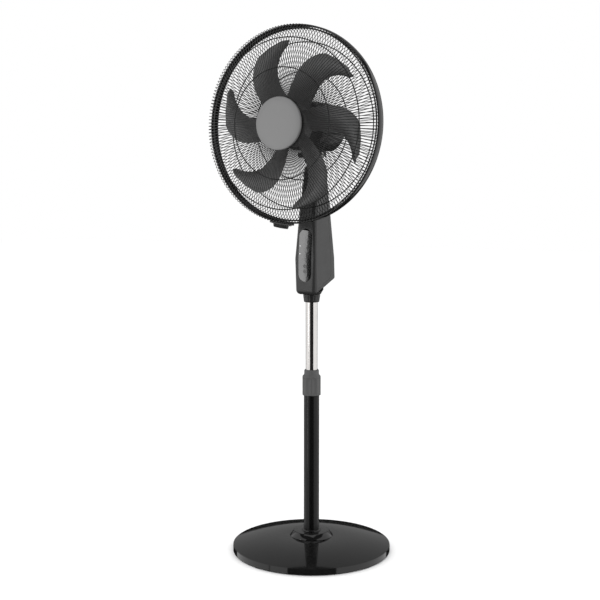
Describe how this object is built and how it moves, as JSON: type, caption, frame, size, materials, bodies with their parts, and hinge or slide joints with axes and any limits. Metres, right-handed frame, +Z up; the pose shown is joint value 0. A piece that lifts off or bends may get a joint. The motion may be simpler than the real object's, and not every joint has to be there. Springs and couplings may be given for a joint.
{
  "type": "pedestal fan",
  "caption": "Floor-standing fan with a wire guard, sickle blades, control housing, height-adjustable chrome mast and round base.",
  "frame": {"origin": "on the column's axis, at the underside of the rubber feet", "axes": "+Z up along the column; the fan blows towards -Y; +X is to the right of someone facing the fan's front"},
  "size_m": [0.4504, 0.38, 1.2422],
  "materials": {
    "black_gloss": "deep gloss moulded black",
    "black_enamel": "gloss black stove enamel",
    "wire_black": "black powder coat on wire",
    "black_satin": "satin black moulding",
    "charcoal": "satin charcoal moulding with fine grain",
    "collar_grey": "matte dark grey moulding",
    "blade_grey": "satin dark grey polypropylene",
    "badge_grey": "satin grey paint",
    "panel_black": "high gloss window",
    "button_grey": "satin grey key",
    "lens": "translucent white lens",
    "mast_chrome": "bright plated tube",
    "zinc_steel": "zinc plated fastener",
    "ground_steel": "ground steel",
    "lamination": "stacked electrical steel",
    "ballast": "primed steel plate",
    "rubber": "moulded rubber",
    "die_cast": "die cast alloy",
    "bronze": "sintered bronze",
    "copper": "enamelled copper wire",
    "nylon": "natural nylon",
    "board": "solder masked circuit board"
  },
  "bodies": {
    "stand": {"base_cover": "black_gloss", "ballast_plate": "ballast", "rubber_feet": "rubber", "tube_foot": "ballast", "base_bolts": "zinc_steel", "base_collar": "black_gloss", "collar_ring": "black_gloss", "lower_tube": "black_enamel", "clamp_sleeve": "nylon"},
    "lock_collar": {"lock_collar": "collar_grey"},
    "mast": {"mast_tube": "mast_chrome", "mast_stop": "nylon", "tube_socket": "black_satin", "housing_front": "charcoal", "housing_rear": "charcoal", "housing_screws": "zinc_steel", "cord_gland": "rubber", "control_panel": "panel_black", "control_board": "board", "board_switches": "zinc_steel", "indicator_lights": "lens", "neck_lug": "black_satin"},
    "neck_nut": {"neck_nut": "black_satin"},
    "power_button": {"power_button": "button_grey"},
    "mode_button": {"mode_button": "button_grey"},
    "tilt_frame": {"tilt_bracket": "black_satin", "tilt_bolt": "zinc_steel", "swing_post": "ground_steel"},
    "tilt_knob": {"tilt_knob": "black_satin"},
    "head": {"motor_front_cover": "black_satin", "motor_rear_cover": "black_satin", "motor_cover_screws": "zinc_steel", "front_shield": "die_cast", "rear_shield": "die_cast", "stator_core": "lamination", "stator_windings": "copper", "front_bearing": "bronze", "rear_bearing": "bronze", "swing_bush": "nylon", "swing_carrier": "die_cast", "swing_motor": "die_cast", "rear_guard": "wire_black", "rear_guard_nut": "black_satin", "front_guard": "wire_black", "guard_badge": "badge_grey", "guard_ring": "black_gloss", "guard_clip": "black_gloss", "clip_screw": "zinc_steel"},
    "swing_crank": {"swing_crank": "nylon"},
    "swing_link": {"swing_link": "zinc_steel"},
    "blades": {"rotor": "lamination", "motor_shaft": "ground_steel", "drive_pin": "ground_steel", "fan_blade": "blade_grey", "blade_nut": "black_satin"}
  },
  "joints": [
    {"name": "height_slide", "type": "slide", "parent": "stand", "child": "mast", "axis": [0, 0, 1], "range_m": [-0.155, 0.11]},
    {"name": "lock_collar_turn", "type": "hinge", "parent": "stand", "child": "lock_collar", "pos_m": [0, 0, 0.41], "axis": [0, 0, 1], "range_deg": [0, 120]},
    {"name": "neck_nut_turn", "type": "hinge", "parent": "mast", "child": "neck_nut", "pos_m": [0, 0, 0.614], "axis": [0, 0, 1], "range_deg": [0, 360]},
    {"name": "power_press", "type": "slide", "parent": "mast", "child": "power_button", "axis": [0, 1, 0], "range_m": [0, 0.001], "stiffness_N_per_m": 900, "springref_m": -0.0005},
    {"name": "mode_press", "type": "slide", "parent": "mast", "child": "mode_button", "axis": [0, 1, 0], "range_m": [0, 0.001], "stiffness_N_per_m": 900, "springref_m": -0.0005},
    {"name": "head_tilt", "type": "hinge", "parent": "mast", "child": "tilt_frame", "pos_m": [0, 0.004, 0.953], "axis": [1, 0, 0], "range_deg": [-20, 10]},
    {"name": "tilt_knob_turn", "type": "hinge", "parent": "tilt_frame", "child": "tilt_knob", "pos_m": [-0.03, 0.004, 0.953], "axis": [1, 0, 0], "range_deg": [0, 180]},
    {"name": "head_swing", "type": "hinge", "parent": "tilt_frame", "child": "head", "pos_m": [0, 0.022, 0.953], "axis": [0, 0, 1], "range_deg": [-40, 40]},
    {"name": "swing_crank_turn", "type": "hinge", "parent": "head", "child": "swing_crank", "pos_m": [0, 0.052, 0.972], "axis": [0, 0, 1], "range_deg": [-66, 66]},
    {"name": "swing_link_turn", "type": "hinge", "parent": "swing_crank", "child": "swing_link", "pos_m": [0.01, 0.052, 0.969], "axis": [0, 0, 1], "range_deg": [-66, 66]},
    {"name": "blade_spin", "type": "hinge", "parent": "head", "child": "blades", "pos_m": [0, 0, 1.017], "axis": [0, -1, 0], "continuous": true}
  ],
  "couplings": [
    {"joint": "swing_crank_turn", "follows": "head_swing", "ratio": -1.6},
    {"joint": "swing_link_turn", "follows": "head_swing", "ratio": 1.6}
  ]
}
